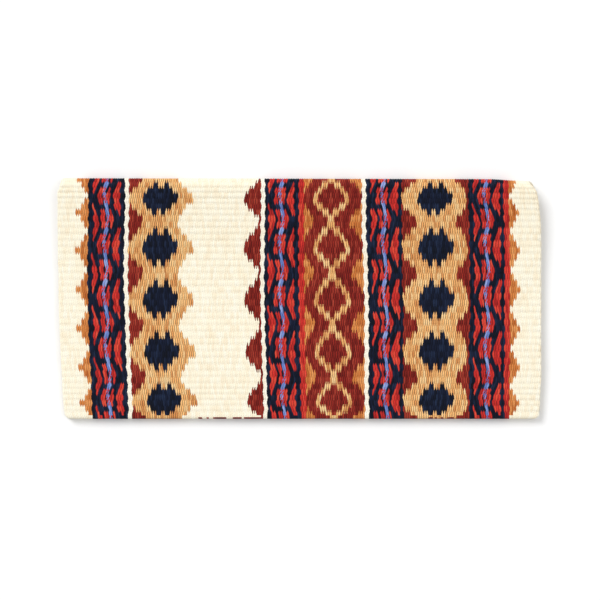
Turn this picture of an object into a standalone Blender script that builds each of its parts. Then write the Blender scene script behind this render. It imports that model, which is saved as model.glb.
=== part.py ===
"""Wool saddle blanket, folded in half along its spine, with a soft rolled fold.

X runs along the ribs of the cloth, from the blanket's left end to its right end. Y runs from the
two hems to the fold, and Z is up. The blanket lies on Z = 0, with the origin in the middle of
its footprint. Each rib is one warp cord with the coloured weft beaten over it, and each colour
block is the weft of one yarn. At the fold the cloth is built rib by rib, so that it can unroll.

The draft below is counted in picks along a rib, and in ribs from the middle of the fold.
"""

import math

import bmesh
import bpy
from mathutils import Matrix

# Driving sizes of the cloth, in metres
RIB_PITCH = 0.0119
EDGE_RIB_PITCH = 0.0103
PICK_PITCH = 0.00405
CLOTH_THICKNESS = 0.008
WARP_DIAMETER = 0.003
BORDER_ROUNDING = 0.003
HEM_CORNER_RADIUS = 0.011
SIDE_DRAW_IN = 0.020
FOLD_END_DRAW_IN = 0.004
CLEARANCE = 0.0003

# Widths of the bands of weft, in metres, from the left end to the right end
LEFT_END_WIDTH = 0.057
WAVE_WIDTH = 0.064
LIGHT_STRIPE_WIDTH = 0.007
LEFT_RING_WIDTH = 0.117
FIELD_WIDTH = 0.127
RED_STRIPE_WIDTH = 0.009
DIAMOND_WIDTH = 0.110
RIGHT_RING_WIDTH = 0.124
RIGHT_END_WIDTH = 0.060

# Counts of ribs: in each leaf, of which the last ones are beaten closer together, and in the fold
LEAF_RIBS = 37
EDGE_RIBS = 6
FOLD_RIBS = 3

# Repeats of the draft: ribs from one motif to the next, and from the fold's middle to the first
RING_REPEAT_RIBS = 8
RING_START_RIBS = 3
TOOTH_REPEAT_RIBS = 6
TOOTH_START_RIBS = 5.5

# Corners of a motif's quarter, as shares of a pick and of a rib from its middle
MEDALLION_CORNER_SHARES = ((8, 0.5), (6, 1.5), (4, 2.5), (0, 1.6))
DIAMOND_CENTRE_SHARES = ((5.5, 0.5), (0, 2.8))
# Half outlines that repeat along a band, as shares of a pick across and of a rib along
DIAMOND_EDGE_SHARES = ((8, 0.5), (2, 3.6))
WEDGE_SHARES = ((7.5, 0.4), (0.5, 2.8))
BASED_WEDGE_SHARES = ((7, 0.5), (1.5, 2.6))
SCALLOP_SHARES = ((7, 0.7), (5, 2), (0.5, 3.7))
FIELD_TOOTH_SHARES = ((7, 0.4), (0, 2.6))
END_TOOTH_SHARES = ((6.5, 0.5), (2, 2.6))

# How far the two ends are drawn in, as (ribs from the fold, share of SIDE_DRAW_IN)
LEFT_SIDE_SHARES = ((0, 0.18), (0.6, 0), (11.5, 0), (18, 0.1), (27, 0.26), (37, 0.46))
RIGHT_SIDE_SHARES = ((0, 1), (0.5, 0.65), (2.2, 0.37), (5.3, 0.18), (11.5, 0), (30, 0), (37, 0.18))

BANDS = (
    ("cream_end_left", LEFT_END_WIDTH, "cream"),
    ("wave_band_1", WAVE_WIDTH, "navy"),
    ("light_stripe_1", LIGHT_STRIPE_WIDTH, "light"),
    ("ring_band_left", LEFT_RING_WIDTH, "gold"),
    ("cream_field", FIELD_WIDTH, "cream"),
    ("light_stripe_2", LIGHT_STRIPE_WIDTH, "light"),
    ("wave_band_2", WAVE_WIDTH, "navy"),
    ("red_stripe_1", RED_STRIPE_WIDTH, "red"),
    ("diamond_band", DIAMOND_WIDTH, "dark_red"),
    ("light_stripe_3", LIGHT_STRIPE_WIDTH, "light"),
    ("wave_band_3", WAVE_WIDTH, "navy"),
    ("ring_band_right", RIGHT_RING_WIDTH, "gold"),
    ("wave_band_4", WAVE_WIDTH, "navy"),
    ("red_stripe_2", RED_STRIPE_WIDTH, "red"),
    ("cream_end_right", RIGHT_END_WIDTH, "cream"),
)

# Colour of each yarn, linear red, green and blue
YARNS = {
    "cream": (0.95, 0.88, 0.73),
    "light": (0.97, 0.93, 0.84),
    "gold": (0.86, 0.49, 0.19),
    "orange": (0.60, 0.23, 0.05),
    "dark_red": (0.17, 0.014, 0.012),
    "red": (0.50, 0.028, 0.022),
    "navy": (0.008, 0.013, 0.035),
    "warp": (0.62, 0.55, 0.42),
}
WOOL_ROUGHNESS = 0.92

# Worked out from the sizes above
CLOTH_WIDTH = sum(width for _, width, _ in BANDS)
HALF_GAP = CLEARANCE / 2
HALF_THICKNESS = CLOTH_THICKNESS / 2


def rib_place(ribs):
    """Distance from the leaf's fold side to a place counted in ribs."""
    plain = min(ribs, LEAF_RIBS - EDGE_RIBS)
    return plain * RIB_PITCH + (ribs - plain) * EDGE_RIB_PITCH


LEAF_DEPTH = rib_place(LEAF_RIBS)


def fold_turns(slope):
    """Turn at each joint of the fold, from the lower leaf to the upper one.

    The two joints at the leaves turn half as far as the ones between the fold ribs.
    """
    inner_joints = FOLD_RIBS - 1
    share = (math.pi + slope) / (2 * inner_joints + 2)
    return [share] + [2 * share] * inner_joints + [share]


def fold_chain(turns):
    """Place and heading of each fold rib and of the upper leaf, from the first joint."""
    y = z = heading = 0.0
    chain = []
    for turn in turns:
        heading += turn
        chain.append((y, z, heading))
        y += RIB_PITCH * math.cos(heading)
        z += RIB_PITCH * math.sin(heading)
    return chain


def settled_slope():
    """How far the upper leaf tilts down from the fold until its hem rests on the lower leaf."""
    slope = 0.0
    settling_steps = 12
    for _ in range(settling_steps):
        _, rise, _ = fold_chain(fold_turns(slope))[-1]
        slope = math.asin((rise - CLOTH_THICKNESS - CLEARANCE) / LEAF_DEPTH)
    return slope


TURNS = fold_turns(settled_slope())
CHAIN = fold_chain(TURNS)
MITRE = max(TURNS) / 2


def fold_rib_profile():
    """Outline of a fold rib: rounded outside, and mitred inside so that the fold can close."""
    arc_steps = 6
    start = HALF_GAP / math.cos(MITRE)
    half = RIB_PITCH / 2 - start
    outer = [
        (
            RIB_PITCH / 2 - half * math.cos(math.pi * i / arc_steps),
            -HALF_THICKNESS * math.sin(math.pi * i / arc_steps),
        )
        for i in range(arc_steps + 1)
    ]
    back = start + HALF_THICKNESS * math.tan(MITRE)
    return outer + [(RIB_PITCH - back, HALF_THICKNESS), (back, HALF_THICKNESS)]


def footprint_shift():
    """How far the first joint lies from the middle of the footprint, along Y."""
    y, _, heading = CHAIN[-1]
    flank = HALF_THICKNESS - BORDER_ROUNDING
    front = [-LEAF_DEPTH]
    for up in (-flank, flank):
        front.append(y + LEAF_DEPTH * math.cos(heading) - up * math.sin(heading))
    back = []
    for y, _, heading in CHAIN[:-1]:
        for along, up in fold_rib_profile():
            back.append(y + along * math.cos(heading) - up * math.sin(heading))
    return -(min(front) + max(back)) / 2


def band_edges():
    """Left and right edge of each band, by name."""
    edges = {}
    x = -CLOTH_WIDTH / 2
    for name, width, _ in BANDS:
        edges[name] = (x, x + width)
        x += width
    return edges


EDGES = band_edges()


def clean_scene():
    """Remove what the file starts with, and make the two collections."""
    for found in list(bpy.data.objects):
        bpy.data.objects.remove(found, do_unlink=True)
    made = []
    for name in ("saddle_blanket", "cutters"):
        collection = bpy.data.collections.new(name)
        bpy.context.scene.collection.children.link(collection)
        made.append(collection)
    return made


PARTS, CUTTERS = clean_scene()


def yarn_material(colour):
    """Wool material of one yarn."""
    found = bpy.data.materials.get(f"{colour}_wool")
    if found:
        return found
    material = bpy.data.materials.new(f"{colour}_wool")
    material.use_nodes = True
    shader = material.node_tree.nodes["Principled BSDF"]
    shader.inputs["Base Color"].default_value = (*YARNS[colour], 1)
    shader.inputs["Roughness"].default_value = WOOL_ROUGHNESS
    shader.inputs["Metallic"].default_value = 0
    material.diffuse_color = (*YARNS[colour], 1)
    return material


class Frame:
    """One moving stretch of cloth: an empty on its joint's axis, with the pieces under it.

    Its Y runs along the cloth towards the upper leaf's hem, or in the lower leaf towards its own.
    """

    def __init__(self, name, y, z, heading, parent=None):
        self.place = Matrix.Translation((0, y, z)) @ Matrix.Rotation(heading, 4, "X")
        self.empty = bpy.data.objects.new(f"{name}_frame", None)
        self.empty.empty_display_size = RIB_PITCH
        PARTS.objects.link(self.empty)
        local = self.place
        if parent:
            self.empty.parent = parent.empty
            local = parent.place.inverted() @ self.place
        self.empty.matrix_basis = local

    def carry(self, name, data, collection=PARTS):
        """New object under this frame's empty."""
        piece = bpy.data.objects.new(name, data)
        piece.parent = self.empty
        collection.objects.link(piece)
        return piece


def grown(outline, by):
    """The outline with every side moved outward by the same distance."""
    turned = outline[1:] + outline[:1]
    area = sum(ax * by_ - bx * ay for (ax, ay), (bx, by_) in zip(outline, turned)) / 2
    points = outline if area > 0 else outline[::-1]
    normals = []
    for (ax, ay), (bx, by_) in zip(points, points[1:] + points[:1]):
        length = math.hypot(bx - ax, by_ - ay)
        normals.append(((by_ - ay) / length, (ax - bx) / length))
    moved = []
    for i, (x, y) in enumerate(points):
        (px, py), (qx, qy) = normals[i - 1], normals[i]
        reach = by / (1 + px * qx + py * qy)
        moved.append((x + reach * (px + qx), y + reach * (py + qy)))
    return moved


def clipped(outline, low, high):
    """The part of an outline whose second coordinate lies between low and high."""
    for limit, sign in ((low, 1), (high, -1)):
        kept = []
        for (ax, ay), (bx, by) in zip(outline, outline[1:] + outline[:1]):
            inside_a, inside_b = sign * (ay - limit) >= 0, sign * (by - limit) >= 0
            if inside_a:
                kept.append((ax, ay))
            if inside_a != inside_b:
                share = (limit - ay) / (by - ay)
                kept.append((ax + share * (bx - ax), limit))
        outline = [p for p, q in zip(kept, kept[1:] + kept[:1]) if p != q]
    return outline


def extruded(outlines, thickness):
    """Closed mesh of flat outlines, with the given thickness about their plane."""
    curve = bpy.data.curves.new("outline", "CURVE")
    curve.dimensions = "2D"
    curve.fill_mode = "BOTH"
    curve.extrude = thickness / 2
    for outline in outlines:
        spline = curve.splines.new("POLY")
        spline.points.add(len(outline) - 1)
        for point, (x, y) in zip(spline.points, outline):
            point.co = (x, y, 0, 1)
        spline.use_cyclic_u = True
    flat = bpy.data.objects.new("outline", curve)
    PARTS.objects.link(flat)
    graph = bpy.context.evaluated_depsgraph_get()
    mesh = bpy.data.meshes.new_from_object(flat.evaluated_get(graph))
    bpy.data.objects.remove(flat, do_unlink=True)
    welded = bmesh.new()
    welded.from_mesh(mesh)
    bmesh.ops.remove_doubles(welded, verts=welded.verts, dist=CLEARANCE / 10)
    bmesh.ops.recalc_face_normals(welded, faces=welded.faces)
    welded.to_mesh(mesh)
    welded.free()
    mesh.materials.clear()
    return mesh


def on_border(point):
    """Whether a point of a leaf lies on its hem or on one of its two ends."""
    end_share = 0.3
    left = -CLOTH_WIDTH / 2 + end_share * LEFT_END_WIDTH
    right = CLOTH_WIDTH / 2 - end_share * RIGHT_END_WIDTH
    return point.y > LEAF_DEPTH - CLEARANCE or not left < point.x < right


def round_border(piece):
    """Round the upper and lower edges of a piece where it lies on the leaf's border."""
    mesh = piece.data
    weights = mesh.attributes.new("bevel_weight_edge", "FLOAT", "EDGE")
    found = False
    for edge, weight in zip(mesh.edges, weights.data):
        a, b = (mesh.vertices[i].co for i in edge.vertices)
        level = abs(a.z - b.z) < CLEARANCE
        weight.value = 1.0 if level and on_border(a) and on_border(b) else 0.0
        found = found or weight.value > 0
    if found:
        bevel = piece.modifiers.new("rounded_border", "BEVEL")
        bevel.width = BORDER_ROUNDING
        bevel.segments = 2
        bevel.limit_method = "WEIGHT"


def weft(name, frame, outline, colour, woven_in=(), solver="EXACT"):
    """Weft of one yarn in a leaf, through the whole cloth, with room for what is woven into it."""
    mesh = extruded([outline], CLOTH_THICKNESS)
    mesh.materials.append(yarn_material(colour))
    piece = frame.carry(name, mesh)
    round_border(piece)
    if woven_in:
        room = extruded([grown(each, CLEARANCE) for each in woven_in], 2 * CLOTH_THICKNESS)
        cutter = frame.carry(f"{name}_room", room, CUTTERS)
        cutter.hide_render = True
        cutter.display_type = "WIRE"
        cut = piece.modifiers.new("woven_in", "BOOLEAN")
        cut.operation = "DIFFERENCE"
        cut.solver = solver
        cut.object = cutter
    return piece


def places(start, repeat):
    """Where a motif's middle falls in the upper leaf, in ribs from the leaf's fold side."""
    counted = [start + repeat * i - FOLD_RIBS / 2 for i in range(-1, LEAF_RIBS // repeat + 2)]
    return [n for n in counted if -repeat < n < LEAF_RIBS + repeat]


def laid(outline):
    """An outline in metres from one in ribs, cut to the leaf."""
    outline = clipped(outline, 0, LEAF_RIBS)
    metres = [(x, rib_place(n)) for x, n in outline]
    return clipped(metres, HALF_GAP, LEAF_DEPTH)


def motifs(corners, x, middles):
    """Outlines of a motif mirrored both ways from its corners, at each place in the leaf."""
    right = list(corners)
    half = right + [(-a, b) for a, b in reversed(right) if a]
    ring = half + [(a, -b) for a, b in reversed(half) if b]
    least_ribs = 1
    found = []
    for n in middles:
        if n - least_ribs < LEAF_RIBS and n + least_ribs > 0:
            found.append(laid([(x + a * PICK_PITCH, n + b) for a, b in ring]))
    return found


def notched_line(x, inward, middles, shares):
    """Line along the leaf that steps inward at each motif's middle."""
    line = []
    for n in middles:
        outward = [(x + inward * a * PICK_PITCH, n - b) for a, b in reversed(shares)]
        line += outward + [(px, 2 * n - py) for px, py in reversed(outward)]
    return line


def strip(x, line):
    """Outline between a straight side at x and a notched line."""
    return laid(line + [(x, line[-1][1]), (x, line[0][1])])


def band_outline(name, middle=None):
    """A band's outline in a leaf, a half gap inside its edges, up to a middle line if given."""
    left, right = EDGES[name]
    left, right = left + HALF_GAP, right - HALF_GAP
    if middle is not None:
        left, right = (left, middle) if middle < (left + right) / 2 else (middle, right)
    if name == BANDS[0][0]:
        return end_outline(-1, right)
    if name == BANDS[-1][0]:
        return end_outline(1, left)
    return [(left, HALF_GAP), (right, HALF_GAP), (right, LEAF_DEPTH), (left, LEAF_DEPTH)]


def end_outline(side, inner):
    """Outline of an end band, drawn in along its outer side and rounded at the hem."""
    shares = LEFT_SIDE_SHARES if side < 0 else RIGHT_SIDE_SHARES
    edge = []
    for ribs, share in shares:
        y = max(rib_place(ribs), HALF_GAP)
        edge.append((side * (CLOTH_WIDTH / 2 - share * SIDE_DRAW_IN), y))
    corner_x, corner_y = edge.pop()
    radius = HEM_CORNER_RADIUS
    arc_steps = 4
    for i in range(arc_steps + 1):
        turn = i / arc_steps * math.pi / 2
        x = corner_x - side * radius * (1 - math.cos(turn))
        edge.append((x, corner_y - radius * (1 - math.sin(turn))))
    return edge + [(inner, LEAF_DEPTH), (inner, HALF_GAP)]


def plain_bands(prefix, frame, names):
    """Bands of one yarn, with nothing woven into them."""
    for name, _, colour in BANDS:
        if name in names:
            weft(f"{prefix}_{name}", frame, band_outline(name), colour)


def ring_bands(frame, rings, gaps):
    """Gold bands with navy medallions and dark red edges, and the cream field between them."""
    field_left, field_right = EDGES["cream_field"]
    line = notched_line(field_left + HALF_GAP, -1, gaps, FIELD_TOOTH_SHARES)
    field = strip(field_right - HALF_GAP, line)
    scallop_line = notched_line(field_right - HALF_GAP, -1, rings, SCALLOP_SHARES)
    scallops = strip(field_right - HALF_GAP, scallop_line)
    weft("upper_cream_field", frame, field, "cream", [scallops])
    weft("upper_dark_red_edge_2", frame, scallops, "dark_red")

    left, right = EDGES["ring_band_left"]
    first = strip(left + HALF_GAP, notched_line(left + HALF_GAP, 1, gaps, WEDGE_SHARES))
    weft("upper_dark_red_edge_1", frame, first, "dark_red")
    navy = motifs(MEDALLION_CORNER_SHARES, (left + right) / 2, rings)
    outline = band_outline("ring_band_left")
    weft("upper_ring_band_left", frame, outline, "gold", [first, field] + navy)
    for i, each in enumerate(navy):
        weft(f"upper_medallion_left_{i + 1}", frame, each, "navy")

    left, right = EDGES["ring_band_right"]
    left, right = left + HALF_GAP, right - HALF_GAP
    edges = [
        strip(left, notched_line(left, 1, gaps, BASED_WEDGE_SHARES)),
        strip(right, notched_line(right, -1, gaps, BASED_WEDGE_SHARES)),
    ]
    for i, each in enumerate(edges):
        weft(f"upper_dark_red_edge_{i + 3}", frame, each, "dark_red")
    navy = motifs(MEDALLION_CORNER_SHARES, (left + right) / 2, rings)
    outline = band_outline("ring_band_right")
    weft("upper_ring_band_right", frame, outline, "gold", edges + navy)
    for i, each in enumerate(navy):
        weft(f"upper_medallion_right_{i + 1}", frame, each, "navy")


def diamond_band(frame, rings):
    """Dark red band with a gold chain of diamonds down its middle."""
    left, right = EDGES["diamond_band"]
    middle = (left + right) / 2
    ahead = notched_line(middle, 1, rings, DIAMOND_EDGE_SHARES)
    behind = [(2 * middle - x, n) for x, n in ahead]
    chain = laid(ahead + behind[::-1])
    centres = motifs(DIAMOND_CENTRE_SHARES, middle, rings)
    weft("upper_diamond_chain", frame, chain, "gold", centres)
    for i, each in enumerate(centres):
        weft(f"upper_diamond_centre_{i + 1}", frame, each, "dark_red")
    least_half = PICK_PITCH
    for name, x in (("left", middle - least_half), ("right", middle + least_half)):
        outline = band_outline("diamond_band", x)
        weft(f"upper_diamond_ground_{name}", frame, outline, "dark_red", [chain])


def cream_ends(frame, teeth):
    """Cream ends with a stepped orange edge."""
    for name, side in (("left", -1), ("right", 1)):
        band = f"cream_end_{name}"
        left, right = EDGES[band]
        x = right - HALF_GAP if side < 0 else left + HALF_GAP
        orange = strip(x, notched_line(x, side, teeth, END_TOOTH_SHARES))
        weft(f"upper_orange_edge_{name}", frame, orange, "orange")
        # The exact solver loses the long rounded side of an end band, so this cut uses the other.
        weft(f"upper_{band}", frame, band_outline(band), "cream", [orange], "MANIFOLD")


def upper_leaf(frame):
    """The half of the blanket that shows its pattern when it lies folded."""
    rings = places(RING_START_RIBS, RING_REPEAT_RIBS)
    gaps = places(RING_START_RIBS - RING_REPEAT_RIBS / 2, RING_REPEAT_RIBS)
    teeth = places(TOOTH_START_RIBS, TOOTH_REPEAT_RIBS)
    plain = [name for name, _, _ in BANDS if "wave" in name or "stripe" in name]
    plain_bands("upper", frame, plain)
    ring_bands(frame, rings, gaps)
    diamond_band(frame, rings)
    cream_ends(frame, teeth)


def fold_rib(name, frame, end_draw_in):
    """A whole rib of the fold with its own warp cord in its bore."""
    left = -CLOTH_WIDTH / 2 + end_draw_in
    right = CLOTH_WIDTH / 2 - SIDE_DRAW_IN - end_draw_in
    bore_half = WARP_DIAMETER / 2 + CLEARANCE
    middle = RIB_PITCH / 2
    bore = [
        (middle - bore_half, -bore_half),
        (middle + bore_half, -bore_half),
        (middle + bore_half, bore_half),
        (middle - bore_half, bore_half),
    ]
    mesh = extruded([fold_rib_profile(), bore], right - left)
    # The outline's own X, Y and Z are the frame's Y, Z and X.
    stand = Matrix(((0, 0, 1, 0), (1, 0, 0, 0), (0, 1, 0, 0), (0, 0, 0, 1)))
    mesh.transform(Matrix.Translation(((left + right) / 2, 0, 0)) @ stand)
    mesh.materials.append(yarn_material("cream"))
    frame.carry(name, mesh)

    curve = bpy.data.curves.new(f"{name}_warp", "CURVE")
    curve.dimensions = "3D"
    curve.bevel_depth = WARP_DIAMETER / 2
    curve.bevel_resolution = 2
    curve.use_fill_caps = True
    spline = curve.splines.new("POLY")
    spline.points.add(1)
    for point, x in zip(spline.points, (left, right)):
        point.co = (x, middle, 0, 1)
    spline.use_smooth = True
    curve.materials.append(yarn_material("warp"))
    frame.carry(f"{name}_warp", curve)


def main():
    """The lower leaf, the ribs of the fold, each on the joint of the one before, the upper leaf."""
    shift, height = footprint_shift(), HALF_THICKNESS
    lower = Frame("lower_leaf", shift, height, math.pi)
    plain_bands("lower", lower, [name for name, _, _ in BANDS])
    before = None
    for i, (y, z, heading) in enumerate(CHAIN[:-1]):
        before = Frame(f"fold_rib_{i + 1}", y + shift, z + height, heading, before)
        from_outside = 1 + min(i, FOLD_RIBS - 1 - i)
        fold_rib(f"fold_rib_{i + 1}", before, FOLD_END_DRAW_IN * from_outside)
    y, z, heading = CHAIN[-1]
    upper_leaf(Frame("upper_leaf", y + shift, z + height, heading, before))


main()
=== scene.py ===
"""Looks of the folded saddle blanket: its weave, dyed yarns, floor, light and camera.

The cloth is built pick by pick and rib by rib, as it comes off the loom. A rib is one warp cord
under the beaten weft, and a grain is one pick of weft over one rib. Places along a rib are counted
in picks from the left end, and ribs from the fold's middle rib, upwards through the upper leaf.
"""

import math

import bpy
import numpy as np
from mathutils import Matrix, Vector

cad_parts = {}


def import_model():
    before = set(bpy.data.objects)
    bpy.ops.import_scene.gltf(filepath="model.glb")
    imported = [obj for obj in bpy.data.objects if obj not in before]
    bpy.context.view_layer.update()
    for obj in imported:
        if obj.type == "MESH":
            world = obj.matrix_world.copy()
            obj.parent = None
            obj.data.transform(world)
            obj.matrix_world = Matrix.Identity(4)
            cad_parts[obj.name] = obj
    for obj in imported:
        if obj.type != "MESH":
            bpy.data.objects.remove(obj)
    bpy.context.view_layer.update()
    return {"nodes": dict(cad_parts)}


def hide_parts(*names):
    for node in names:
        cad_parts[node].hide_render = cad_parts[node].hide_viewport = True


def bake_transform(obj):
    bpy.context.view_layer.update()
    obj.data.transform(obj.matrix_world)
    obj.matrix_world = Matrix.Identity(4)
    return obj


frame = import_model()

# The cloth, in metres
WIDTH = 0.890
HALF_THICKNESS = 0.004
RIB_PITCH = 0.0119
EDGE_RIB_PITCH = 0.0103
LEAF_RIBS = 37
EDGE_RIBS = 6
FOLD_RIBS = 3
RIBS = 2 * LEAF_RIBS + FOLD_RIBS
MIDDLE_RIB = LEAF_RIBS + 1
PICKS = 220
PICK_PITCH = WIDTH / PICKS
LEAF_DEPTH = (LEAF_RIBS - EDGE_RIBS) * RIB_PITCH + EDGE_RIBS * EDGE_RIB_PITCH
HEM_CORNER_RADIUS = 0.011
MM_PER_METRE = 1000

# The grid of points has this many columns to a pick, and a grain begins half a pick later on
# every other rib
COLUMNS_PER_PICK = 4
HALF_GRAIN = COLUMNS_PER_PICK // 2
COLUMNS = PICKS * COLUMNS_PER_PICK + 1
COLUMN = np.arange(COLUMNS)

# The middle line of the cloth, seen from the left end: its joints' places and its headings
FIRST_JOINT = (0.208359, HALF_THICKNESS)
HEADINGS = (0.0, 30.338, 91.015, 151.691, 182.029)
BEND_REACH = 0.4 * RIB_PITCH

# Relief of the weave: heights over the middle surface in metres, and grains' tips in shares of
# a rib's pitch
GROOVE_AT_VALLEY = 0.0022
GROOVE_RISE = 0.0009
GRAIN_AT_VALLEY = 0.00035
GRAIN_RISE = 0.00055
VALLEY_FILL = 0.0002
GRAIN_ROUNDNESS = 2.4
RIB_ROUNDNESS = 0.8
TIP_REACH = 0.24
TIP_LENGTH = 0.45

# How unevenly the yarn lies, in metres
GROOVE_JITTER = 0.00022
GRAIN_SETTLING = 0.00022
VALLEY_JITTER = 0.00028
BAND_WANDER = 0.0009
RIB_WANDER = 0.0007
SIDE_WANDER = 0.0005
SIDE_SCALLOP = 0.0005

# The upper leaf's sag past the roll, in metres
LEAF_SAG = 0.0042
LEAF_UNEVEN = 0.0007

# How far the fold is pressed in, in metres: at its left end, how much more at its right end, and
# how much more at the right corner. It grows from ROLL_FROM over ROLL_DEPTH, along y.
FOLD_FLAT_LEFT = 0.0015
FOLD_FLAT_MORE = 0.0022
CORNER_FLAT = 0.0015
ROLL_FROM = 0.193
ROLL_DEPTH = 0.027

# How far the right corner is pushed back with all of its roll, in metres
CORNER_PUSH = 0.0024

# Where the right corner's flattening and its push begin and over what stretch they grow, in shares
# of the width, and for the push also in metres along y
FLAT_CORNER = (0.9, 0.06)
PUSHED_CORNER = (0.895, 0.07)
PUSHED_ROLL = (0.13, 0.08)

# Sides that are drawn in, as (ribs from the fold, millimetres)
LEFT_DRAW_IN = (
    (-1.5, 8), (-0.5, 4), (0, 3.6), (0.6, 0), (11.5, 0), (18, 0.6), (27, 4.6), (33, 7.4),
    (37, 11.6),
)
RIGHT_DRAW_IN = (
    (-1.5, 23), (-0.5, 15), (0, 11.8), (0.5, 9.8), (1.5, 8.0), (2.2, 6.8), (3.3, 4.8),
    (5.3, 2.5), (7, 1.2), (11.5, 0), (30, 0), (37, 3.6),
)
LEFT_SIDE_WIDTH = 0.057
RIGHT_SIDE_WIDTH = 0.060

# The ribs aren't quite even: how far each lies beyond its plain place, as (distance past the last
# joint of the fold, how far), in metres
SLACK = (
    (-0.1000, 0), (-0.0357, 0.0025), (-0.0238, 0.0045), (-0.0119, 0.0070), (0, 0.0053),
    (0.0119, 0.0031), (0.0238, 0.0011), (0.0357, -0.0007), (0.0476, -0.0021), (0.0595, -0.0034),
    (0.085, -0.0042), (0.119, -0.0046), (0.166, -0.0041), (0.2142, -0.0036), (0.262, -0.0034),
    (0.3094, -0.0034), (0.357, -0.0036), (0.3998, -0.0038), (0.4204, -0.0034), (0.4307, 0),
)

# Bands don't run quite straight: how far they lie to the right, in millimetres, for ribs from the
# fold, at the places from the left end named in the first line
LEAN_PLACES = (0, 60, 130, 250, 378, 504, 567, 634, 756, 825, 890)
LEAN = (
    (3, (0, 2.4, 1.4, 0, 1.0, -1.5, -4.5, -2.8, -2.3, -2.3, 0)),
    (7, (0, 1.0, 0.5, -0.5, 0.5, -1.5, -4.0, -2.5, 0.5, 0.5, 0.4)),
    (11, (0, -0.5, -0.5, -0.5, 0, 0, -1.8, -1.2, 1.4, 1.4, 0.8)),
    (15, (0, -0.5, -0.5, -1.0, -0.5, 0.5, -1.2, -0.5, 2.0, 1.4, 0.8)),
    (19, (0, 0.5, 0.5, -0.5, 0, 0.5, 0.4, 1.0, 2.0, 1.4, 0.8)),
    (23, (0, 1.4, 2.0, 2.0, 0.8, 1.0, 0.5, 0.6, 1.0, 2.0, 0.8)),
    (27, (0, 4.0, 3.0, 3.2, 1.6, 3.0, 1.4, 1.0, 1.2, 1.0, 0.8)),
    (31, (0, 6.3, 5.4, 5.8, 3.2, 4.2, 1.4, 0.5, 0.6, 0.5, 0.4)),
    (36, (0, 7.8, 7.3, 7.2, 5.0, 4.4, 2.3, 1.4, 0.8, 0.8, 0.4)),
)

# Where the picks lie, as (pick, millimetres from the left end): some yarns beat closer than others
PLACES = (
    (0, 0), (13.75, 55.6), (30.25, 122.1), (32.25, 130.0), (46.5, 188.3), (61.75, 249.5),
    (92.25, 373.4), (94.25, 380.9), (109.75, 443.2), (112.25, 453.5), (125, 503.9),
    (139.25, 563.1), (141.25, 571.0), (156.75, 634.4), (171.5, 695.0), (186.75, 755.9),
    (202.75, 820.2), (205.25, 830.0), (220, 890),
)

# Each yarn's dark, main and pale shade, how much painted shade its grooves get and how far its
# grains differ
YARN_LOOKS = {
    "cream": ((246, 228, 196), (255, 246, 222), (255, 252, 238), 0.10, 0.34),
    "light": ((246, 230, 204), (255, 247, 228), (255, 254, 246), 0.12, 0.34),
    "gold": ((204, 122, 62), (255, 194, 124), (255, 222, 166), 0.76, 0.50),
    "orange": ((174, 86, 34), (219, 134, 68), (246, 176, 110), 0.50, 0.46),
    "dark_red": ((88, 12, 10), (148, 38, 29), (190, 76, 56), 0.85, 0.42),
    "red": ((138, 20, 24), (214, 50, 44), (236, 92, 66), 0.60, 0.46),
    "navy": ((3, 8, 20), (10, 20, 44), (30, 44, 72), 0.55, 0.60),
    "blue": ((76, 96, 166), (120, 146, 212), (176, 188, 232), 0.42, 0.40),
}
CREAM, LIGHT, GOLD, ORANGE, DARK_RED, RED, NAVY, BLUE = range(len(YARN_LOOKS))

# Bands from the left end to the right end, in picks, and the middles of their motifs
BANDS = (
    ("left_end", 13.6),
    ("wave", 16.6),
    ("light", 2.0),
    ("left_rings", 29.4),
    ("field", 30.7),
    ("light", 1.9),
    ("wave", 15.4),
    ("red", 2.6),
    ("diamonds", 27.0),
    ("light", 2.0),
    ("wave", 15.6),
    ("right_rings", 30.0),
    ("wave", 16.0),
    ("red", 2.4),
    ("right_end", 14.8),
)
MIDDLES = {"left_rings": 46.5, "diamonds": 125.0, "right_rings": 171.5}

# Motifs repeat every so many ribs, and their middles lie in a groove. The teeth of both ends
# repeat at their own pace, with their tips on every sixth rib.
MOTIF_RIBS = 8
MOTIF_MIDDLE = 3.5
TOOTH_RIBS = 6

# How many picks a motif reaches on each rib, from its middle rib outwards
END_TEETH = (5.6, 3.4, 1.6)
RIGHT_TEETH_LIMIT = 4.8
MEDALLION = (7.35, 5.35, 3.25)
MEDALLION_NOTCH = 1.25
SCALLOP = (6.8, 5.6, 3.2, 1.2)
CHAIN_OUTSIDE = (8.0, 6.4, 4.1, 1.6)
CHAIN_INSIDE = (5.8, 3.9, 1.4, 0)

# The same from the neck between two motifs outwards, at the left and the right side of a band
RING_TEETH = {
    "left_rings": ((DARK_RED, (5.8, 3.8, 1.4)), (CREAM, (6.5, 4.8, 2.8))),
    "right_rings": ((DARK_RED, (6.0, 3.4, 1.2)), (DARK_RED, (5.4, 3.0, 1.4, 1))),
}
TRIANGLES = ((3.9, 2.3, 0.8), (4.7, 2.7, 1.0))

# The chain's gold shows between dark grains within this many picks of its middle
CHAIN_REACH = 9

# The wave bands are drawn in thirty-sixths of their width: a red lens at each side, two red
# strands, which break on one rib in four, and a blue line between them, which floats on one rib
# in eight and is plied with red on most of the others
WAVE_UNITS = 36
LEFT_LENS_FROM = 4.2
LEFT_LENS_TO = (9.2, 8.2, 6.4)
RIGHT_LENS_FROM = (25.9, 26.6, 28.6, WAVE_UNITS)
RIGHT_LENS_TO = 32.0
STRANDS = ((13.6, 1.9), (21.4, 2.0))
STRAND_RIBS = 4
BLUE_LINE = (17.1, 17.1, 16.8, 17.6, 18.6, 18.7, 18.3, 17.9)
BLUE_HALF_WIDTH = 1.55
FLOAT_RIB = 1
FLOAT_HALF_WIDTH = 1.9
UNPLIED_RIBS = (5, 6)

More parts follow.
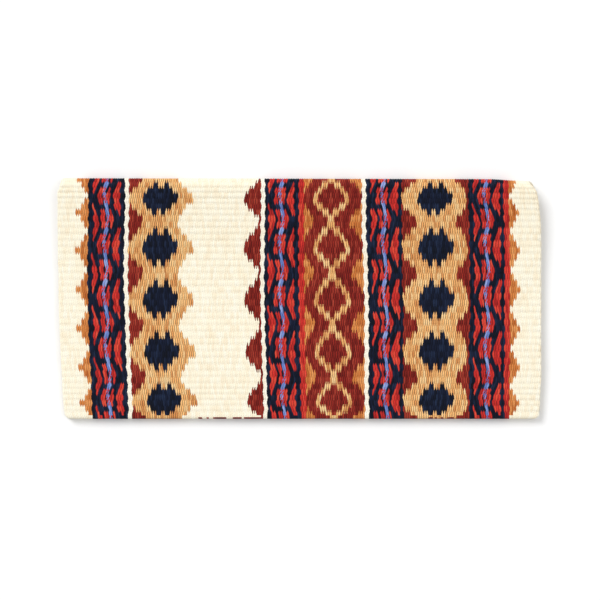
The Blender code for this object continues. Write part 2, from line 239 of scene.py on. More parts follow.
# Floats of dark red weft along the hems: from and to, in metres, and their share of the picks
HEM_FLOATS = ((0.252, 0.378, 0.72), (0.64, 0.75, 0.35))

# How far the wefts swing sideways round the motifs, in metres
WAVE_SWING = 0.0032
FIELD_SWING = 0.0012
MOTIF_SWING = {"left_rings": 0.0012, "diamonds": 0.0019, "right_rings": 0.0012}

# The soft noise repeats after this many cells
NOISE_CELLS = 63

rng = np.random.default_rng(37)


def rise(value, start, stretch):
    """0 up to the start, rising evenly to 1 over the stretch after it."""
    return np.clip((value - start) / stretch, 0, 1)


def smooth_step(share):
    return share * share * (3 - 2 * share)


# ---------------------------------------------------------------- the draft


def by_offset(steps, offset):
    """The entry of the steps at each rib's offset from a motif's middle, and 0 past their end."""
    entries = np.array(tuple(steps) + (0,), float)
    return entries[np.minimum(offset, len(steps))]


def draft(rib, along, grain, place):
    """The yarn of each face. rib counts from the fold's middle, along is the same as a fraction,
    grain is the middle of the face's grain and place is the face's own middle, both in picks."""
    signed = (rib - MOTIF_MIDDLE + MOTIF_RIBS / 2) % MOTIF_RIBS - MOTIF_RIBS / 2
    ring = np.abs(signed).astype(int)
    gap = MOTIF_RIBS // 2 - 1 - ring
    tilt = np.where(ring == 2, 0.5, 0.25) * -np.sign(signed)
    from_tip = np.abs((rib + TOOTH_RIBS // 2) % TOOTH_RIBS - TOOTH_RIBS // 2)
    tooth = by_offset(END_TEETH, from_tip)
    step = rib % MOTIF_RIBS
    broken = step % STRAND_RIBS == FLOAT_RIB
    floating = step == FLOAT_RIB
    yarn = np.full(grain.shape, CREAM)
    high = 0.0
    for name, width in BANDS:
        low, high = high, high + width
        inside = (grain >= low) & (grain < high)
        from_left, from_right = grain - low, high - grain

        def paint(where, colour):
            yarn[inside & where] = colour

        if name == "left_end":
            paint(from_right < tooth, ORANGE)
        elif name == "right_end":
            paint(from_left < np.minimum(tooth, RIGHT_TEETH_LIMIT), ORANGE)
        elif name == "light":
            paint(True, LIGHT)
        elif name == "red":
            paint(True, RED)
        elif name == "field":
            paint(from_right < by_offset(SCALLOP, ring), DARK_RED)
        elif name in RING_TEETH:
            paint(True, GOLD)
            offset = np.abs(grain - MIDDLES[name] - tilt)
            notch = (ring == 2) & (offset <= MEDALLION_NOTCH)
            paint((offset < by_offset(MEDALLION, ring)) & ~notch, NAVY)
            (left_yarn, left_steps), (right_yarn, right_steps) = RING_TEETH[name]
            paint(from_left < by_offset(left_steps, gap), left_yarn)
            paint(from_right < by_offset(right_steps, gap), right_yarn)
        elif name == "diamonds":
            paint(True, DARK_RED)
            offset = np.abs(grain - MIDDLES[name])
            outside, inner = by_offset(CHAIN_OUTSIDE, ring), by_offset(CHAIN_INSIDE, ring)
            paint((offset < outside) & (offset >= inner), GOLD)
            paint(from_left < by_offset(TRIANGLES[0], gap), ORANGE)
            paint(from_right < by_offset(TRIANGLES[1], gap), ORANGE)
        elif name == "wave":
            across = from_left / width * WAVE_UNITS
            across_finely = (place - low) / width * WAVE_UNITS
            paint(True, NAVY)
            paint((across > LEFT_LENS_FROM) & (across < by_offset(LEFT_LENS_TO, gap)), RED)
            paint((across > np.take(RIGHT_LENS_FROM, ring)) & (across < RIGHT_LENS_TO), RED)
            for strand, half_width in STRANDS:
                paint((np.abs(across - strand) < half_width) & ~broken, RED)
            line = np.take(BLUE_LINE, step)
            paint(floating & (np.abs(across - line) < FLOAT_HALF_WIDTH), BLUE)
            on_line = ~floating & (np.abs(across_finely - line) < BLUE_HALF_WIDTH)
            paint(on_line, BLUE)

            # Its red ply turns round it by a quarter of a rib for each quarter of a pick
            turn = np.floor((along - rib + 0.5) * 4) + np.floor(place * COLUMNS_PER_PICK)
            paint(on_line & ~np.isin(step, UNPLIED_RIBS) & (turn % 4 > 1), RED)
    return yarn


# ---------------------------------------------------------------- the shape of the cloth


def direction(degrees):
    a = np.radians(degrees)
    return np.stack([np.cos(a), np.sin(a)], -1)


def rib_pitches():
    pitch = np.full(RIBS, RIB_PITCH)
    pitch[:EDGE_RIBS] = EDGE_RIB_PITCH
    pitch[-EDGE_RIBS:] = EDGE_RIB_PITCH
    return pitch


def joint_places():
    places = [np.array(FIRST_JOINT)]
    for heading in HEADINGS[1:4]:
        places.append(places[-1] + RIB_PITCH * direction(heading))
    return places


PITCH = rib_pitches()
RIB_START = np.concatenate([[0], np.cumsum(PITCH)])
JOINT_AT = [LEAF_DEPTH + k * RIB_PITCH for k in range(4)]
JOINTS = joint_places()


def middle_line(s):
    """Place and heading of the cloth's middle line at distances s from the lower hem: straight
    stretches, with an arc across each joint."""
    place = np.zeros(s.shape + (2,))
    heading = np.zeros(s.shape)
    ends = [-math.inf] + JOINT_AT + [math.inf]
    for k, angle in enumerate(HEADINGS):
        at = (s >= ends[k]) & (s < ends[k + 1])
        joint = max(k - 1, 0)
        place[at] = JOINTS[joint] + (s[at] - JOINT_AT[joint])[..., None] * direction(angle)
        heading[at] = angle
    for k, (joint, at_s) in enumerate(zip(JOINTS, JOINT_AT)):
        before, after = HEADINGS[k], HEADINGS[k + 1]
        turn = math.radians(after - before)
        radius = BEND_REACH / math.tan(turn / 2)
        centre = joint - BEND_REACH * direction(before) + radius * direction(before + 90)
        at = np.abs(s - at_s) < BEND_REACH
        share = (s[at] - at_s + BEND_REACH) / (2 * BEND_REACH)
        heading[at] = before + share * (after - before)
        place[at] = centre - radius * direction(heading[at] + 90)
    return place, heading


def stations():
    """Rows of points across the cloth, from the lower hem to the upper one: the rib that each
    begins a face of, its place in the rib from 0 to 1, and how full the section is there."""
    plain = (0, 0.25, 0.5, 0.75)
    dense = (0, 0.12, 0.25, 0.38, 0.45, 0.5, 0.55, 0.62, 0.75, 0.88)
    hem = (math.pi / 2, math.pi / 3, math.pi / 6)
    rows = [(0, 0.5 - 0.5 * math.sin(a), math.cos(a)) for a in hem]
    rows += [(0, f, 1.0) for f in plain if f >= 0.5]
    for rib in range(1, RIBS - 1):
        near_fold = abs(rib - MIDDLE_RIB) <= FOLD_RIBS
        rows += [(rib, f, 1.0) for f in (dense if near_fold else plain)]
    rows += [(RIBS - 1, f, 1.0) for f in plain if f <= 0.5]
    rows += [(RIBS - 1, 0.5 + 0.5 * math.sin(a), math.cos(a)) for a in reversed(hem)]
    return rows


ROW_RIB, ROW_PART, ROW_FULL = (np.array(values) for values in zip(*stations()))
ROW_FLAT = RIB_START[ROW_RIB] + ROW_PART * PITCH[ROW_RIB]
IN_HEM = ROW_FULL < 1
AT_VALLEY = ROW_PART == 0


def smooth_noise(x, y, cell_x, cell_y, seed):
    """Soft random values from -1 to 1 on a grid of cells, the same on each run."""
    size = (NOISE_CELLS + 1, NOISE_CELLS + 1)
    values = np.random.default_rng(seed).uniform(-1, 1, size)
    gx, gy = x / cell_x + 8, y / cell_y + 8
    ix, iy = np.floor(gx).astype(int), np.floor(gy).astype(int)
    tx, ty = smooth_step(gx - ix), smooth_step(gy - iy)
    ix, iy = ix % NOISE_CELLS, iy % NOISE_CELLS
    return (
        values[ix, iy] * (1 - tx) * (1 - ty)
        + values[ix + 1, iy] * tx * (1 - ty)
        + values[ix, iy + 1] * (1 - tx) * ty
        + values[ix + 1, iy + 1] * tx * ty
    )


def swing(pick, count):
    """How far the wefts swing sideways round the motifs, in metres."""
    turn = np.cos(2 * np.pi * (count - MOTIF_MIDDLE) / MOTIF_RIBS)
    total = np.zeros(pick.shape)
    high = 0.0
    for name, width in BANDS:
        low, high = high, high + width
        inside = (pick > low) & (pick < high)
        if name == "wave":
            ease = np.clip(np.minimum(pick - low, high - pick) / 4, 0, 1)
            total -= np.where(inside, WAVE_SWING * smooth_step(ease), 0) * turn
        elif name in MOTIF_SWING:
            out = np.sin(2 * np.pi * (pick - MIDDLES[name]) / width)
            total += np.where(inside, MOTIF_SWING[name] * out, 0) * turn
        elif name == "field":
            near = np.clip((high - pick) / 12, 0, 1)
            total -= np.where(inside, FIELD_SWING * np.sin(np.pi * near), 0) * turn
    return total


def lean(x, from_fold):
    """How far the bands lie to the right of a straight line, in metres, as rows by columns."""
    ribs, rows = zip(*LEAN)
    at_rows = np.array([np.interp(x * MM_PER_METRE, LEAN_PLACES, row) for row in rows])
    place = np.clip(np.interp(from_fold, ribs, np.arange(len(ribs))), 0, len(ribs) - 1.001)
    low = np.floor(place).astype(int)
    share = smooth_step(place - low)[:, None]
    return (at_rows[low] * (1 - share) + at_rows[low + 1] * share) / MM_PER_METRE


def drawn_in(table, from_fold):
    """How far a side is drawn in at each row, in metres, evened out over a rib."""
    ribs, much = zip(*table)
    samples = [np.interp(from_fold + d, ribs, much) for d in (-0.4, -0.2, 0, 0.2, 0.4)]
    return np.mean(samples, 0) / MM_PER_METRE


def uneven_grains():
    """For each rib and column: its place across its grain from 0 to 1, how far the grooves have
    strayed there and how deep the grain has settled, in metres."""
    start = HALF_GRAIN * (np.arange(RIBS) % 2)
    u = ((COLUMN[None, :] - start[:, None]) % COLUMNS_PER_PICK) / COLUMNS_PER_PICK
    shift = np.zeros((RIBS, COLUMNS))
    lift = np.zeros((RIBS, COLUMNS))
    for rib in range(RIBS):
        first, past = start[rib] - COLUMNS_PER_PICK, COLUMNS + 2 * COLUMNS_PER_PICK
        grooves = np.arange(first, past, COLUMNS_PER_PICK)
        shift[rib] = np.interp(COLUMN, grooves, rng.normal(0, GROOVE_JITTER, len(grooves)))
        grain = (COLUMN - start[rib]) // COLUMNS_PER_PICK + 1
        lift[rib] = rng.uniform(-GRAIN_SETTLING, 0, len(grooves) + 2)[grain]
    return u, shift, lift


def relief(u, lift):
    """How far each point of a face stands off the cloth's middle surface."""
    swell = np.where(IN_HEM, 1.0, np.sin(np.pi * ROW_PART))[:, None]
    crown = (1 - np.abs(2 * u - 1) ** GRAIN_ROUNDNESS)[ROW_RIB]
    ground = GROOVE_AT_VALLEY + GROOVE_RISE * swell**RIB_ROUNDNESS
    grain = (GRAIN_AT_VALLEY + GRAIN_RISE * swell) * crown
    height = ground + grain + lift[ROW_RIB] * crown * swell
    height = np.where(AT_VALLEY[:, None], GROOVE_AT_VALLEY + VALLEY_FILL, height)

    # The hems round off, and both ends do over the last pick
    from_end = np.minimum(COLUMN, COLUMNS - 1 - COLUMN) / COLUMNS_PER_PICK
    return height * ROW_FULL[:, None] * np.sqrt(1 - np.clip(1 - from_end, 0, 1) ** 2)


def cloth_points():
    """Outer and inner face of the whole cloth, as rows by columns of points, and each row's
    distance from the lower hem."""
    u, shift, lift = uneven_grains()
    height = relief(u, lift)
    before = np.maximum(ROW_RIB - 1, 0)

    # Grains end in points that lie between the grains of the next rib
    reach = np.clip(1 - np.minimum(ROW_PART, 1 - ROW_PART) / TIP_LENGTH, 0, 1)
    reach = np.where(IN_HEM, 0, reach)[:, None]
    valley_rib = np.where(ROW_PART < 0.5, before, ROW_RIB)
    tips = -np.cos(2 * np.pi * u[valley_rib]) * TIP_REACH * reach * PITCH[ROW_RIB][:, None]

    s_row = ROW_FLAT + np.interp(ROW_FLAT - JOINT_AT[3], *zip(*SLACK))
    count = ROW_RIB - MIDDLE_RIB + ROW_PART - 0.5
    pick = COLUMN / COLUMNS_PER_PICK
    x_plain = np.interp(pick, *zip(*PLACES)) / MM_PER_METRE - WIDTH / 2
    grid_x, grid_q = np.meshgrid(x_plain, count)
    x = x_plain + np.where(
        AT_VALLEY[:, None], (shift[before] + shift[ROW_RIB]) / 2, shift[ROW_RIB]
    )
    x += BAND_WANDER * smooth_noise(grid_x + 1, grid_q + 50, cell_x=0.045, cell_y=6, seed=5)
    x += swing(np.broadcast_to(pick, x.shape), grid_q)
    stray = rng.normal(0, VALLEY_JITTER, (len(ROW_RIB), COLUMNS // 2 + 2))
    stray = np.array([np.interp(COLUMN / 2, np.arange(len(row)), row) for row in stray])
    x += np.where(AT_VALLEY[:, None], stray, 0)

    # The sides: drawn in near the fold and the hem, scalloped by the ribs, rounded at the corners
    from_fold = np.abs(count) - FOLD_RIBS / 2
    to_hem = np.minimum(s_row, RIB_START[-1] - s_row)
    dip = np.clip(HEM_CORNER_RADIUS - to_hem, 0, None)
    corner = HEM_CORNER_RADIUS - np.sqrt(HEM_CORNER_RADIUS**2 - dip**2)
    scallop = np.where(IN_HEM, 0, SIDE_SCALLOP * (1 - np.sin(np.pi * ROW_PART)))
    one_line = np.full(count.shape, 3.0)
    wander = SIDE_WANDER * smooth_noise(count + 90, one_line, cell_x=5, cell_y=1, seed=8)
    left = drawn_in(LEFT_DRAW_IN, from_fold) + corner + scallop + np.abs(wander)
    right = drawn_in(RIGHT_DRAW_IN, from_fold) + corner + scallop + np.abs(wander[::-1])
    near_left = np.clip(1 - (x_plain + WIDTH / 2) / LEFT_SIDE_WIDTH, 0, 1)
    near_right = np.clip(1 - (WIDTH / 2 - x_plain) / RIGHT_SIDE_WIDTH, 0, 1)
    x = np.clip(x + lean(x_plain + WIDTH / 2, from_fold), -WIDTH / 2, WIDTH / 2)
    x += left[:, None] * near_left - right[:, None] * near_right

    # The ribs wander a little away from the fold
    away = rise(np.abs(count), 2, 4) * rise(to_hem, 0, 0.02)
    wave = smooth_noise(grid_x + 1, grid_q + 50, cell_x=0.11, cell_y=5, seed=11)
    s = s_row[:, None] + tips + RIB_WANDER * wave * away[:, None]
    place, heading = middle_line(s)

    # Past the roll the upper leaf sinks a little towards the lower one, and it isn't quite even
    beyond = rise(s, JOINT_AT[3], LEAF_DEPTH)
    sag = LEAF_SAG * np.sin(np.pi * np.clip(beyond * 1.05, 0, 1) ** 0.75) ** 2
    uneven = smooth_noise(grid_x + 1, grid_q + 60, cell_x=0.16, cell_y=9, seed=21)
    sag = sag + LEAF_UNEVEN * (1 + uneven) * np.sin(np.pi * beyond)
    place = place + sag[..., None] * direction(heading + 90)

    # The fold lies a little flatter towards the right end, and is pushed back at its corner
    to_right = x / WIDTH + 0.5
    flatter = FOLD_FLAT_LEFT + FOLD_FLAT_MORE * to_right
    flatter = flatter + CORNER_FLAT * rise(to_right, *FLAT_CORNER)
    place[..., 0] -= flatter * np.clip((place[..., 0] - ROLL_FROM) / ROLL_DEPTH, 0, 1.2) ** 2
    pushed = rise(to_right, *PUSHED_CORNER) * smooth_step(rise(place[..., 0], *PUSHED_ROLL))
    place[..., 0] -= CORNER_PUSH * pushed

    out = direction(heading - 90)
    faces = []
    for side in (1, -1):
        yz = place + side * height[..., None] * out
        faces.append(np.stack([x, yz[..., 0], yz[..., 1]], -1))
    return faces[0], faces[1], s_row


OUTER, INNER, ROW_AT = cloth_points()


def face_yarns():
    """The yarn of each face of the grid, its grain's random share, and where the face begins
    across its grain and begins and ends in its rib."""
    rows = len(ROW_RIB) - 1
    rib = ROW_RIB[:rows]
    part_from = ROW_PART[:rows]
    part_to = np.where(ROW_RIB[1:] != rib, 1.0, ROW_PART[1:])
    part = (part_from + part_to) / 2
    column = COLUMN[:-1]
    in_grain = (column[None, :] - HALF_GRAIN * (rib[:, None] % 2)) % COLUMNS_PER_PICK
    grain = (column[None, :] - in_grain + HALF_GRAIN) / COLUMNS_PER_PICK
    grain = np.clip(grain, 0.25, PICKS - 0.25)
    place = np.broadcast_to((column + 0.5) / COLUMNS_PER_PICK, grain.shape)
    along = np.broadcast_to((rib - MIDDLE_RIB + part - 0.5)[:, None], grain.shape)

    # The outer half of a hem's rib shows the pattern's next row
    upper_hem, lower_hem = (rib == RIBS - 1) & (part > 0.6), (rib == 0) & (part < 0.4)
    count = rib - MIDDLE_RIB + upper_hem.astype(int) - lower_hem.astype(int)
    yarn = draft(np.broadcast_to(count[:, None], grain.shape), along, grain, place)

    # Dark yarn shows between the paler grains of the next rib, where its tips reach, and so does
    # the gold of the chain between dark grains
    middle_row = {}
    for k in range(rows):
        if ROW_PART[k] >= 0.25:
            middle_row.setdefault(rib[k], k)
    dark, pale = (NAVY, DARK_RED), (GOLD, ORANGE, CREAM, LIGHT)
    by_groove = (in_grain == 0) | (in_grain == COLUMNS_PER_PICK - 1)
    by_chain = np.abs(grain - MIDDLES["diamonds"]) < CHAIN_REACH
    for k in range(rows):
        beside = rib[k] - 1 if part[k] < 0.25 else rib[k] + 1 if part[k] > 0.75 else None
        if beside in middle_row:
            other = yarn[middle_row[beside]]
            reaches = np.isin(other, dark) & np.isin(yarn[k], pale)
            links = (other == GOLD) & (yarn[k] == DARK_RED)
            shows = np.where(by_chain[k], links, reaches) & by_groove[k]
            yarn[k] = np.where(shows, other, yarn[k])

    # A few floats of dark red weft run along the hems
    which = (rib[:, None], grain.astype(int))
    toss = np.random.default_rng(4).random((RIBS, PICKS + 2))[which]
    share = np.random.default_rng(9).random((RIBS, PICKS + 2))[which]
    at_hem = ((ROW_FULL[:rows] + ROW_FULL[1:]) / 2 < 0.7)[:, None]
    x = place * PICK_PITCH
    for start, end, often in HEM_FLOATS:
        yarn = np.where(at_hem & (x > start) & (x < end) & (toss < often), DARK_RED, yarn)
    return yarn, share, in_grain / COLUMNS_PER_PICK, part_from, part_to


YARN, SHARE, ACROSS, PART_FROM, PART_TO = face_yarns()


# ---------------------------------------------------------------- yarn

# Cells of noise to the metre, across the yarn and along it, for loose fibres and for lots of dye.
# The broad one spreads over many yarns.
FIBRES = (2600, 420, 1)
DYE_LOTS = (240, 9, 1)
BROAD_PATCHES = (30, 22, 1)

# How much each of them adds to the dye's tone, and what sets the middle tone to the main shade
TONE_FROM_LOTS = 0.42
TONE_FROM_BROAD = 0.34
TONE_FROM_FIBRES = 0.30
TONE_SHIFT = -0.03
DARK_AT, MAIN_AT, PALE_AT = 0.12, 0.5, 0.88

# The line between the two plies: how far it slants over a rib, in grains, how far grains differ in
# it, where the plies' backs flatten off, and how much painted shade falls in the line
PLY_SLANT = 3.0
PLY_SPREAD = 7.0
PLY_BACK = 0.75
PLY_SHADE = 0.22

# How steeply painted shade grows towards a grain's grooves and tips, and how much the tips get
GROOVE_POWER = 2.2
TIP_POWER = 5.0
TIP_SHADE = 0.8

PLY_BUMP = {"Strength": 0.5, "Distance": 0.0006}
FIBRE_BUMP = {"Strength": 0.55, "Distance": 0.0005}
ROUGH = 0.80
ROUGH_FIBRES = 0.18
WOOL = {"Specular IOR Level": 0.18, "Sheen Weight": 0.05, "Sheen Roughness": 0.5}


def linear(rgb):
    def channel(v):
        v /= 255
        return v / 12.92 if v <= 0.04045 else ((v + 0.055) / 1.055) ** 2.4

    return tuple(channel(v) for v in rgb) + (1.0,)


class Graph:
    """A short way to write the nodes of a material or a world."""

    def __init__(self, made):
        made.use_nodes = True
        self.made = made
        self.tree = made.node_tree
        self.tree.nodes.clear()

    def add(self, kind, inputs=(), **settings):
        node = self.tree.nodes.new(kind)
        for key, value in settings.items():
            setattr(node, key, value)
        for key, value in dict(inputs).items():
            if isinstance(value, bpy.types.NodeSocket):
                self.tree.links.new(value, node.inputs[key])
            else:
                node.inputs[key].default_value = value
        return node

    def math(self, operation, a, b=0.0, clamp=False):
        node = self.add("ShaderNodeMath", {0: a, 1: b}, operation=operation, use_clamp=clamp)
        return node.outputs[0]

    def mix(self, share, a, b, blend="MIX"):
        inputs = {0: share, 6: a, 7: b}
        node = self.add("ShaderNodeMix", inputs, data_type="RGBA", blend_type=blend)
        return node.outputs[2]

    def grey(self, value):
        return self.add("ShaderNodeCombineXYZ", {0: value, 1: value, 2: value}).outputs[0]

    def noise(self, place, cells, detail):
        at = self.add("ShaderNodeMapping", {0: place, "Scale": cells}).outputs[0]
        inputs = {"Vector": at, "Scale": 1.0, "Detail": detail}
        return self.add("ShaderNodeTexNoise", inputs).outputs[0]

    def ramp(self, value, *stops):
        node = self.add("ShaderNodeValToRGB", {0: value})
        ramp = node.color_ramp
        while len(ramp.elements) < len(stops):
            ramp.elements.new(0.5)
        for element, (at, colour) in zip(ramp.elements, stops):
            element.position = at
            element.color = colour
        return node.outputs[0]

    def to_edges(self, value, power):
        """0 in the middle of a range from 0 to 1, rising to 1 at both its ends."""
        off = self.math("SUBTRACT", self.math("MULTIPLY", value, 2.0), 1.0)
        return self.math("POWER", self.math("ABSOLUTE", off), power)


def yarn_material(name, dark, main, pale, groove, uneven):
    """Handspun wool weft: two plies, loose fibres, a dye that took unevenly, and painted shade in
    the grooves, under the tips and between the plies.
    """
    g = Graph(bpy.data.materials.new(name + "_yarn"))
    grain = g.add("ShaderNodeUVMap", uv_map="Grain").outputs[0]
    cloth = g.add("ShaderNodeUVMap", uv_map="Cloth").outputs[0]
    share = g.add("ShaderNodeAttribute", attribute_name="grain_share").outputs["Fac"]
    split = g.add("ShaderNodeSeparateXYZ", {0: grain})
    u, v = split.outputs[0], split.outputs[1]
    fibres = g.noise(cloth, FIBRES, 3.0)
    lots = g.noise(cloth, DYE_LOTS, 2.0)
    broad = g.noise(cloth, BROAD_PATCHES, 2.0)

    # Two plies turn round each other: their line crosses the grain at a slant
    slant = g.math("ADD", u, g.math("MULTIPLY", v, PLY_SLANT))
    slant = g.math("ADD", slant, g.math("MULTIPLY", share, PLY_SPREAD))
    ply = g.math("MULTIPLY", g.math("PINGPONG", slant, 0.5), 2.0)
    ply = g.math("SMOOTH_MIN", ply, PLY_BACK)

    # How far in a face lies, for the painted shade: 0 on a grain's back, 1 in the groove beside it
    # and less under its tips
    painted_tip_shade = g.math("MULTIPLY", g.to_edges(v, TIP_POWER), TIP_SHADE)
    deep = g.math("MAXIMUM", g.to_edges(u, GROOVE_POWER), painted_tip_shade)

    # The dye's tone, and the painted shade that the grooves, the tips and the line between the
    # plies put on it
    tone = g.math("MULTIPLY", g.math("SUBTRACT", share, 0.5), uneven)
    for noise, weight in (
        (lots, TONE_FROM_LOTS), (broad, TONE_FROM_BROAD), (fibres, TONE_FROM_FIBRES)
    ):
        tone = g.math("ADD", tone, g.math("MULTIPLY", noise, weight))
    tone = g.math("ADD", tone, TONE_SHIFT)
    stops = (DARK_AT, linear(dark)), (MAIN_AT, linear(main)), (PALE_AT, linear(pale))
    dye = g.ramp(tone, *stops)
    # Painted shade in the line between the plies, where a ply falls below its flattened back
    ply_shade = g.math("MULTIPLY", g.math("SUBTRACT", PLY_BACK, ply), PLY_SHADE)
    shade = g.math("ADD", g.math("MULTIPLY", deep, groove), ply_shade)
    shade = g.grey(g.math("SUBTRACT", 1.0, shade, clamp=True))

    plied = g.add("ShaderNodeBump", {"Height": ply, **PLY_BUMP}).outputs[0]
    bump = g.add("ShaderNodeBump", {"Height": fibres, "Normal": plied, **FIBRE_BUMP}).outputs[0]
    look = {
        "Base Color": g.mix(1.0, dye, shade, "MULTIPLY"),
        "Roughness": g.math("ADD", ROUGH, g.math("MULTIPLY", fibres, ROUGH_FIBRES)),
        "Normal": bump,
        **WOOL,
    }
    shader = g.add("ShaderNodeBsdfPrincipled", look)
    g.add("ShaderNodeOutputMaterial", {0: shader.outputs[0]})
    return g.made


MATERIALS = [yarn_material(name, *look) for name, look in YARN_LOOKS.items()]


# ---------------------------------------------------------------- the pieces

# Where a piece lies on its baked picture, in shares of the picture: a margin at its sides, the
# outer face below, the inner face above it, and the edges of its two seams between them
BAKE_MARGIN = 0.002
BAKE_WIDTH = 0.996
BAKE_FACE = 0.485
BAKE_INNER_AT = 0.51
BAKE_SEAM_AT = (0.489, 0.4935)
BAKE_SEAM = 0.004

# The inner face lies this far from the outer one on the cloth's map, so that their noises differ
INNER_AT = 2.3

# How much of a grain a face takes up, and how full a row of points may be that closes a shell
FACE_WIDTH = 1 / COLUMNS_PER_PICK
CLOSED = 1e-6


def put(name, data):
    """A new object in the scene."""
    made = bpy.data.objects.new(name, data)
    bpy.context.scene.collection.objects.link(made)
    return made


def quads(index, under, first, last, seams):
    """All quads of a shell, of its outer and inner face and of its seams' edges: their corners,
    their places on the three maps, their yarns and their grains' random shares."""
    rows = len(index)
    yarn, share, u = YARN[first:last], SHARE[first:last], ACROSS[first:last]
    v_from = np.broadcast_to(PART_FROM[first:last, None], u.shape)
    v_to = np.broadcast_to(PART_TO[first:last, None], u.shape)
    x_flat = np.broadcast_to(COLUMN * PICK_PITCH / COLUMNS_PER_PICK, (rows, COLUMNS))
    s_flat = np.broadcast_to(ROW_FLAT[first : last + 1, None], (rows, COLUMNS))
    s_share = (s_flat - s_flat.min()) / np.ptp(s_flat)
    groups = []

    def on_bake(x, level):
        return np.stack([x / WIDTH * BAKE_WIDTH + BAKE_MARGIN, np.broadcast_to(level, x.shape)], -1)

    for side, grid in ((0, index), (1, under)):
        order = (0, 1, 2, 3) if side else (0, 3, 2, 1)

        def gather(*four):
            return np.stack([four[k] for k in order], -1).reshape(-1, 4)

        def around(points):
            return gather(points[:-1, :-1], points[1:, :-1], points[1:, 1:], points[:-1, 1:])

        us = gather(u, u, u + FACE_WIDTH, u + FACE_WIDTH)
        vs = gather(v_from, v_to, v_to, v_from)
        xs, ss = around(x_flat), around(s_flat)
        level = around(s_share) * BAKE_FACE + BAKE_INNER_AT * side + BAKE_MARGIN
        groups.append(
            (
                around(grid),
                on_bake(xs, level),
                np.stack([us, vs], -1),
                np.stack([xs + INNER_AT * side, ss], -1),
                yarn.reshape(-1),
                share.reshape(-1),
            )
        )

    for k in seams:
        row = min(k, rows - 2)
        at_start = k == 0

        def turned(*four):
            return np.stack(four if at_start else four[::-1], -1)

        top, bottom, x, across = index[k], under[k], x_flat[k], u[row]
        xs = turned(x[:-1], x[1:], x[1:], x[:-1])
        us = turned(across, across + FACE_WIDTH, across + FACE_WIDTH, across)
        level = BAKE_SEAM_AT[0 if at_start else 1] + BAKE_SEAM * turned(0.0, 0.0, 1.0, 1.0)
        groups.append(
            (
                turned(top[:-1], top[1:], bottom[1:], bottom[:-1]),
                on_bake(xs, level),
                np.stack([us, np.full(us.shape, 0.5)], -1),
                np.stack([xs, np.broadcast_to(s_flat[k, 0], xs.shape)], -1),
                yarn[row],
                share[row],
            )
        )
    return [np.concatenate(values) for values in zip(*groups)]


def piece(name, first, last):
    """A closed shell of the cloth from one row of points to another."""
    rows = last - first + 1
    index = np.arange(rows * COLUMNS).reshape(rows, COLUMNS)
    under = index + rows * COLUMNS
    under[:, 0] = index[:, 0]
    under[:, -1] = index[:, -1]
    seams = []
    for k, row in ((0, first), (rows - 1, last)):
        if ROW_FULL[row] < CLOSED:
            under[k] = index[k]
        else:
            seams.append(k)
    points = np.concatenate([face[first : last + 1].reshape(-1, 3) for face in (OUTER, INNER)])
    corners, bake, grain, cloth, slots, shares = quads(index, under, first, last, seams)

    # A quad whose corner is shared twice becomes a triangle
    keep = corners != np.roll(corners, -1, axis=1)
    real = keep.sum(1) >= 3
    keep = keep[real]
    sizes = keep.sum(1)
    used, loops = np.unique(corners[real][keep], return_inverse=True)

    mesh = bpy.data.meshes.new(name)
    mesh.vertices.add(len(used))
    mesh.vertices.foreach_set("co", points[used].astype(np.float32).ravel())
    mesh.loops.add(len(loops))
    mesh.loops.foreach_set("vertex_index", loops.astype(np.int32).ravel())
    mesh.polygons.add(len(sizes))
    starts = np.concatenate([[0], np.cumsum(sizes)[:-1]])
    mesh.polygons.foreach_set("loop_start", starts.astype(np.int32))
    mesh.polygons.foreach_set("loop_total", sizes.astype(np.int32))
    mesh.polygons.foreach_set("material_index", slots[real].astype(np.int32))
    mesh.update(calc_edges=True)
    for layer, values in (("OFBake", bake), ("Grain", grain), ("Cloth", cloth)):
        uv = mesh.uv_layers.new(name=layer)
        uv.data.foreach_set("uv", values[real][keep].astype(np.float32).ravel())
    attribute = mesh.attributes.new("grain_share", "FLOAT", "FACE")
    attribute.data.foreach_set("value", shares[real].astype(np.float32))
    mesh.shade_smooth()

    # The rims of the seams stay sharp, so that two neighbouring pieces shade as one cloth
    rim = np.zeros(2 * rows * COLUMNS, bool)
    for k in seams:
        rim[index[k]] = True
        rim[under[k]] = True
    rim = rim[used]
    ends = np.zeros(len(mesh.edges) * 2, np.int32)
    mesh.edges.foreach_get("vertices", ends)
    ends = ends.reshape(-1, 2)
    sharp = mesh.attributes.new("sharp_edge", "BOOLEAN", "EDGE")
    sharp.data.foreach_set("value", rim[ends[:, 0]] & rim[ends[:, 1]])
    for material in MATERIALS:
        mesh.materials.append(material)
    mesh.validate()
    return put(name, mesh)


NODES = list(frame["nodes"])
LOWER = [n for n in NODES if n.startswith("lower_")]
UPPER = [n for n in NODES if n.startswith("upper_")]


def fold_nodes(*ribs):
    return [n for n in NODES if any(n.startswith(f"fold_rib_{k}") for k in ribs)]


# The pieces meet in the middle of each fold rib
SEAMS = [int(np.argmin(np.abs(ROW_AT - joint - RIB_PITCH / 2))) for joint in JOINT_AT[:3]]
lower_cloth = piece("lower_cloth", 0, SEAMS[0])
inner_roll = piece("roll_cloth_inner", SEAMS[0], SEAMS[1])
outer_roll = piece("roll_cloth_outer", SEAMS[1], SEAMS[2])
upper_cloth = piece("upper_cloth", SEAMS[2], len(ROW_RIB) - 1)

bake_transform(lower_cloth)
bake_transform(inner_roll)
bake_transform(outer_roll)
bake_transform(upper_cloth)
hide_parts(*LOWER)
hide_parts(*fold_nodes(1, 2))
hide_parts(*fold_nodes(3))
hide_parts(*UPPER)


# ---------------------------------------------------------------- floor, light and camera

# In metres: the floor, a pixel of the picture, and the point that the camera looks down at
FLOOR_HALF = 3.0
FLOOR_DROP = 0.0005
PIXEL = 0.001838
FOCUS = (0.0005, -0.0036, 0.02)
IMAGE_PIXELS = 600
SENSOR_MM = 36.0
LENS_MM = 135.0

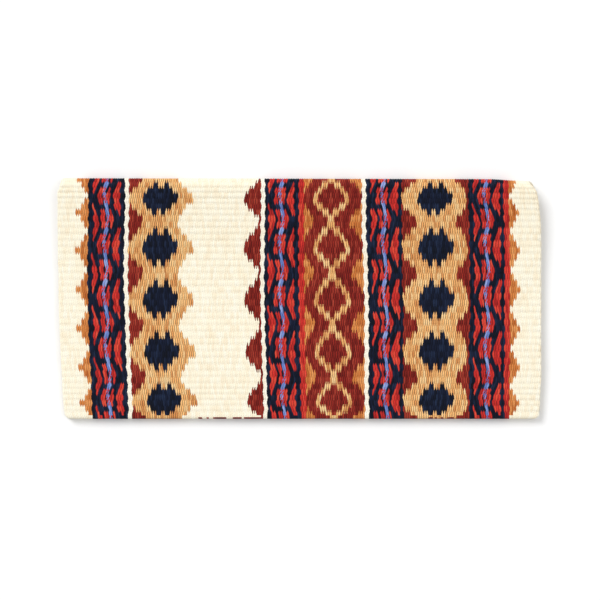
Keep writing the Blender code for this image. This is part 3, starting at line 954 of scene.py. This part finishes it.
# How bright the paper is to the camera, with its grain, and to the cloth; and the world likewise
PAPER_SEEN = 0.905
PAPER_GRAIN = 0.010
PAPER_LIGHT = (0.72, 0.72, 0.72, 1)
WORLD_SEEN = 1.0
WORLD_LIGHT = 0.58

# Lamps: their direction, strength and angle in degrees
LAMPS = {
    "key": ((0.62, -0.66, -0.80), 2.00, 34),
    "fill": ((-0.5, -0.05, -1.0), 0.60, 40),
}


def camera_sees(g):
    """1 for the camera, and for what it sees in gloss or through glass."""
    path = g.add("ShaderNodeLightPath")
    seen = g.math("ADD", path.outputs["Is Camera Ray"], path.outputs["Is Glossy Ray"])
    return g.math("ADD", seen, path.outputs["Is Transmission Ray"], clamp=True)


def floor():
    g = Graph(bpy.data.materials.new("floor_paper"))
    noise = g.add("ShaderNodeTexNoise", {"Scale": 60.0, "Detail": 2.0}).outputs[0]
    grain = g.math("ADD", PAPER_SEEN, g.math("MULTIPLY", noise, PAPER_GRAIN))
    white = g.mix(camera_sees(g), PAPER_LIGHT, g.grey(grain))
    shader = g.add("ShaderNodeBsdfDiffuse", {"Color": white})
    g.add("ShaderNodeOutputMaterial", {0: shader.outputs[0]})

    mesh = bpy.data.meshes.new("floor")
    h = FLOOR_HALF
    mesh.from_pydata([(-h, -h, 0), (h, -h, 0), (h, h, 0), (-h, h, 0)], [], [(0, 1, 2, 3)])
    mesh.materials.append(g.made)
    made = put("floor", mesh)
    made.location.z = -FLOOR_DROP


def world():
    g = Graph(bpy.data.worlds.new("studio"))
    path = g.add("ShaderNodeLightPath")
    seen = g.math("MAXIMUM", path.outputs["Is Camera Ray"], path.outputs["Is Transmission Ray"])
    light = {"Value": seen, "To Min": WORLD_LIGHT, "To Max": WORLD_SEEN}
    strength = g.add("ShaderNodeMapRange", light).outputs[0]
    background = g.add("ShaderNodeBackground", {"Color": (1, 1, 1, 1), "Strength": strength})
    g.add("ShaderNodeOutputWorld", {0: background.outputs[0]})
    bpy.context.scene.world = g.made


def sun(name, towards, strength, angle):
    lamp = bpy.data.lights.new(name, "SUN")
    lamp.energy = strength
    lamp.angle = math.radians(angle)
    put(name, lamp).rotation_euler = Vector(towards).to_track_quat("-Z", "Y").to_euler()


def camera():
    """A camera straight above, as far away as the picture's scale asks for."""
    lens = bpy.data.cameras.new("camera")
    lens.lens = LENS_MM
    lens.sensor_width = SENSOR_MM
    made = put("camera", lens)
    x, y, z = FOCUS
    made.location = (x, y, z + IMAGE_PIXELS * PIXEL * LENS_MM / SENSOR_MM)
    bpy.context.scene.camera = made


floor()
world()
for lamp_name, lamp_look in LAMPS.items():
    sun(lamp_name, *lamp_look)
camera()
bpy.context.scene.view_settings.view_transform = "Standard"
